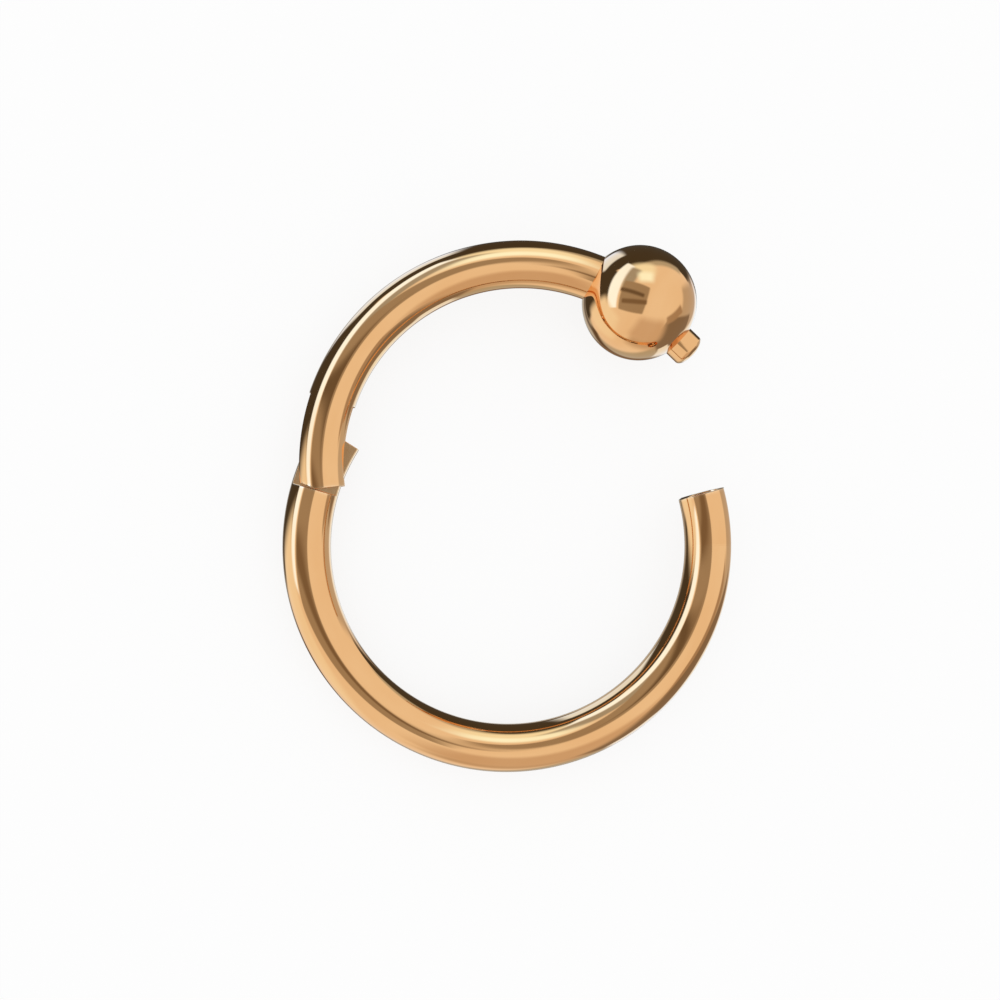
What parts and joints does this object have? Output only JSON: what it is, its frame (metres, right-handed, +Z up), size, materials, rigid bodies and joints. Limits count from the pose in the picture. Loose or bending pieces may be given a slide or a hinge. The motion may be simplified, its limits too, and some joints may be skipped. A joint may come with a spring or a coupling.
{
  "type": "hinged ball closure ring",
  "caption": "Hinged body-piercing hoop of round wire whose gate swings on a pinned tongue and snaps shut with a ball and a domed peg.",
  "frame": {"origin": "the middle of the ring's box, at the height of the surface that it lies on", "axes": "+Z up from that surface; +Y from the bottom of the hoop towards the open gate and its ball; +X from the hinge side towards the clasp side"},
  "size_m": [0.0152, 0.0178, 0.0039],
  "materials": {
    "hoop_gold": "mirror-polished rose-gold coating on surgical steel",
    "gate_gold": "mirror-polished rose-gold coating on surgical steel",
    "ball_gold": "mirror-polished rose-gold coating on surgical steel",
    "peg_gold": "polished rose-gold coating, turned and domed",
    "pin_gold": "finely ground rose-gold pin end, level with the cheek"
  },
  "bodies": {
    "fixed_hoop": {"hoop": "hoop_gold"},
    "swinging_gate": {"gate": "gate_gold", "ball": "ball_gold", "snap_peg": "peg_gold", "hinge_pin": "pin_gold"}
  },
  "joints": [
    {"name": "gate_hinge", "type": "hinge", "parent": "fixed_hoop", "child": "swinging_gate", "pos_m": [-0.00631, 0.00118, 0.0011], "axis": [-0.0509, -0.0518, 0.9974], "range_deg": [-23.4, 5]}
  ]
}
